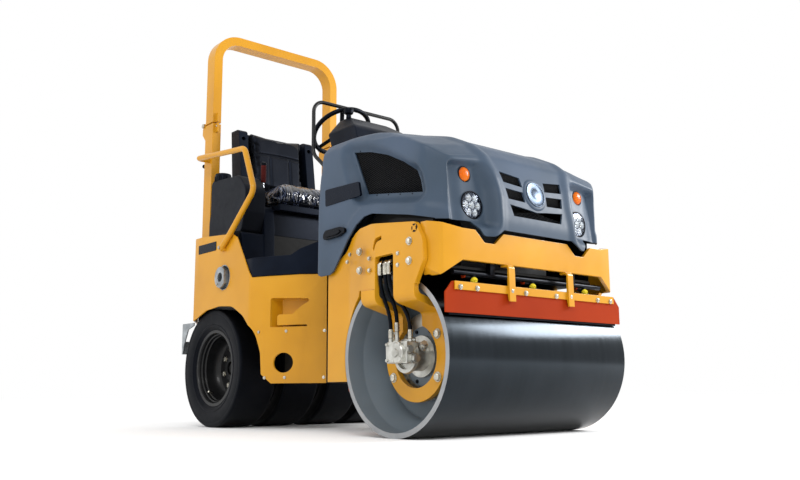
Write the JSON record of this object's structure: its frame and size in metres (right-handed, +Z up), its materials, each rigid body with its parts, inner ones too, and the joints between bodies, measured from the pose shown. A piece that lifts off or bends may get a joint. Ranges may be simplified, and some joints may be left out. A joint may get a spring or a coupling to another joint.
{
  "type": "combination road roller",
  "caption": "Articulated ride-on road roller with a smooth steel drum in front, smooth rubber tyres behind, a tilting hood, a driver's seat and a folding roll bar.",
  "frame": {"origin": "on the ground under the middle of the machine's length and width", "axes": "+X forwards towards the drum, +Y to the driver's left, +Z up"},
  "size_m": [2.47, 1.28, 2.572],
  "materials": {
    "worn_steel": "rolled steel, worn bright in streaks",
    "yellow_paint": "glossy yellow-orange paint",
    "grey_paint": "glossy dark blue-grey paint",
    "black_paint": "satin black paint",
    "dark_frame": "black chassis paint",
    "dark_engine": "painted cast iron",
    "cast_motor": "bare silvery cast metal",
    "red_paint": "orange-red paint",
    "zinc_fittings": "zinc plated",
    "chrome_rod": "polished",
    "galvanised": "galvanised steel",
    "black_rubber": "matt",
    "tyre": "smooth matt tread",
    "black_plastic": "fine grain",
    "black_vinyl": "satin vinyl"
  },
  "bodies": {
    "rear": {"console": "black_plastic", "console_guard": "black_paint", "handrails": "yellow_paint", "lashing_eyes": "galvanised", "platform": "black_plastic", "rear_bracket": "galvanised", "rear_cover": "black_paint", "rear_frame": "dark_frame", "rear_side_panels": "yellow_paint", "rollbar_posts": "yellow_paint", "seat_backrest": "black_vinyl", "seat_base": "black_plastic", "seat_cushion": "black_vinyl", "seat_shell": "black_plastic", "side_covers": "black_plastic", "side_tanks": "black_plastic", "step_pockets": "yellow_paint", "travel_lever": "black_plastic"},
    "front": {"front_side_plates": "yellow_paint", "front_beam": "yellow_paint", "front_frame": "yellow_paint", "engine_block": "dark_engine", "hub_motors": "cast_motor", "hose_fittings": "zinc_fittings", "front_scraper": "yellow_paint", "scraper_blade": "red_paint", "scraper_rubber": "black_rubber", "rear_scraper": "red_paint", "spray_bar": "black_plastic", "hose_rear": "black_rubber", "hose_middle": "black_rubber", "hose_front": "black_rubber"},
    "drum": {"drum": "worn_steel"},
    "hood": {"hood": "grey_paint"},
    "right_wheels": {"right_wheel_hub": "black_paint", "right_outer_tyre": "tyre", "right_inner_tyre": "tyre"},
    "left_wheels": {"left_wheel_hub": "black_paint", "left_outer_tyre": "tyre", "left_inner_tyre": "tyre"},
    "rollbar": {"rollbar_hoop": "yellow_paint"},
    "steering_wheel": {"steering_wheel": "black_plastic"},
    "cylinder_barrel": {"steering_barrel": "black_paint"},
    "cylinder_rod": {"steering_rod": "chrome_rod"}
  },
  "joints": [
    {"name": "steering", "type": "hinge", "parent": "rear", "child": "front", "pos_m": [0.06, 0, 0.5], "axis": [0, 0, 1], "range_deg": [-30, 30]},
    {"name": "drum_spin", "type": "hinge", "parent": "front", "child": "drum", "pos_m": [0.875, 0, 0.36], "axis": [0, 1, 0], "continuous": true},
    {"name": "hood_hinge", "type": "hinge", "parent": "front", "child": "hood", "pos_m": [1.2, 0, 0.925], "axis": [0, 1, 0], "range_deg": [0, 45]},
    {"name": "right_wheel_spin", "type": "hinge", "parent": "rear", "child": "right_wheels", "pos_m": [-0.855, 0, 0.347], "axis": [0, 1, 0], "continuous": true},
    {"name": "left_wheel_spin", "type": "hinge", "parent": "rear", "child": "left_wheels", "pos_m": [-0.855, 0, 0.347], "axis": [0, 1, 0], "continuous": true},
    {"name": "rollbar_fold", "type": "hinge", "parent": "rear", "child": "rollbar", "pos_m": [-1.207, 0, 1.94], "axis": [0, -1, 0], "range_deg": [0, 140]},
    {"name": "steering_wheel_turn", "type": "hinge", "parent": "rear", "child": "steering_wheel", "pos_m": [-0.27, -0.055, 1.765], "axis": [-0.5736, 0, 0.8192], "continuous": true},
    {"name": "cylinder_swing", "type": "hinge", "parent": "rear", "child": "cylinder_barrel", "pos_m": [-0.44, 0.128, 0.5], "axis": [0, 0, 1], "range_deg": [-1.7, 1.7]},
    {"name": "cylinder_stroke", "type": "slide", "parent": "cylinder_barrel", "child": "cylinder_rod", "axis": [1, 0, 0], "range_m": [-0.069, 0.069]}
  ],
  "couplings": [
    {"joint": "cylinder_swing", "follows": "steering", "ratio": 0.0553},
    {"joint": "cylinder_stroke", "follows": "steering", "m_per_rad": -0.1308}
  ]
}
